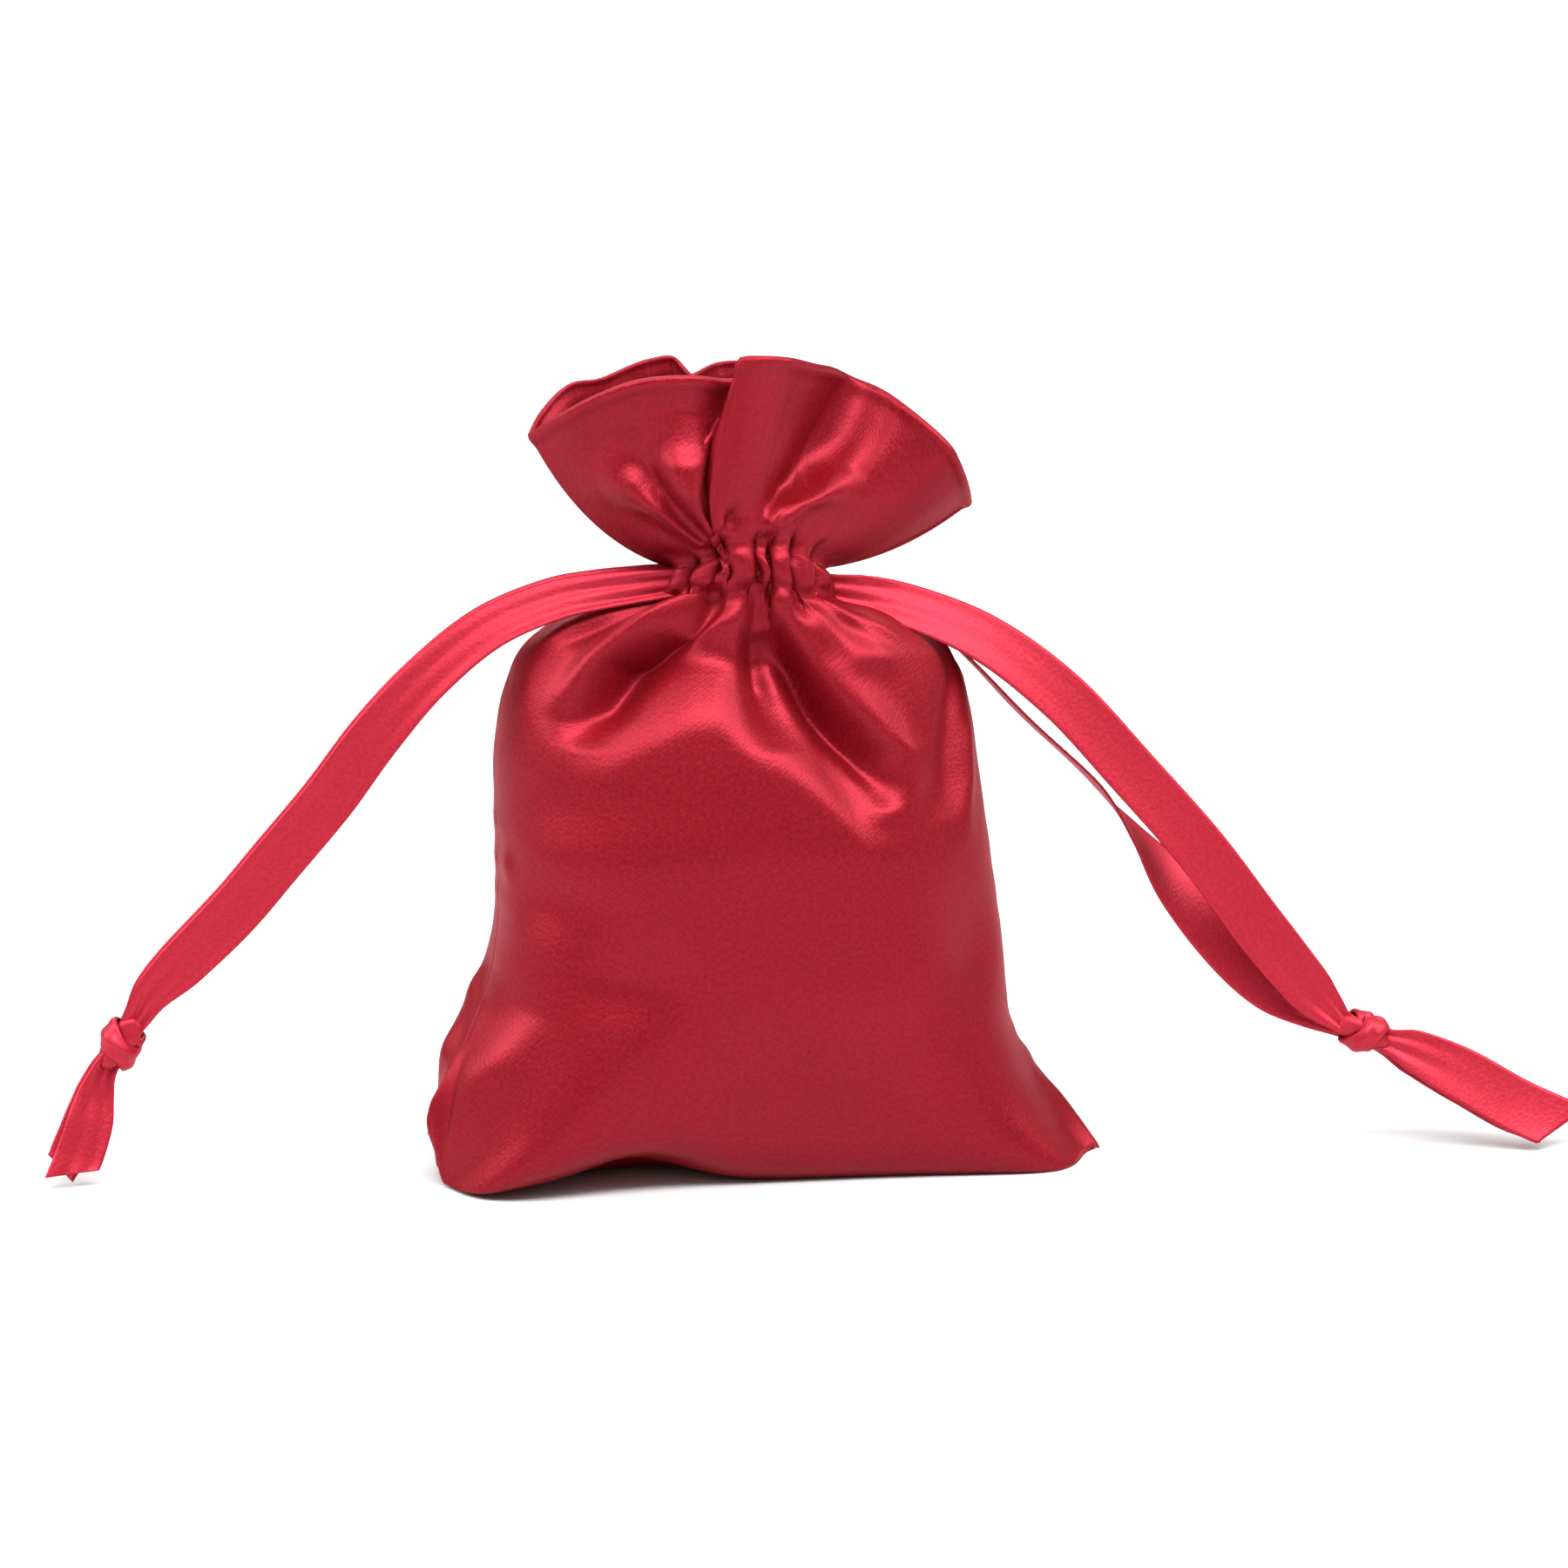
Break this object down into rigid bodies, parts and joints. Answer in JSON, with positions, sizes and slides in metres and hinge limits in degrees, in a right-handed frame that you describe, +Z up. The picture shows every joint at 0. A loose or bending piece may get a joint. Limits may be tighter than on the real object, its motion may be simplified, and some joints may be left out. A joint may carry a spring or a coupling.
{
  "type": "satin gift bag",
  "caption": "Small satin drawstring pouch standing filled out, its mouth drawn shut into a ruffle, with knotted ribbon ends arching down on either side.",
  "frame": {"origin": "middle of the base, on the surface that the bag stands on, measured without the free ribbons", "axes": "+Z up, the front panel faces -Y, the bag's width runs along X"},
  "size_m": [0.1859, 0.0426, 0.1004],
  "materials": {
    "satin": "glossy crimson satin weave",
    "ribbon": "glossy red satin ribbon"
  },
  "bodies": {
    "root": {"front_panel": "satin", "back_panel": "satin", "drawstring_left": "ribbon", "drawstring_right": "ribbon", "knot_left": "ribbon", "knot_right": "ribbon", "tail_left_front": "ribbon", "tail_left_back": "ribbon", "tail_right_front": "ribbon", "tail_right_back": "ribbon"}
  },
  "joints": []
}
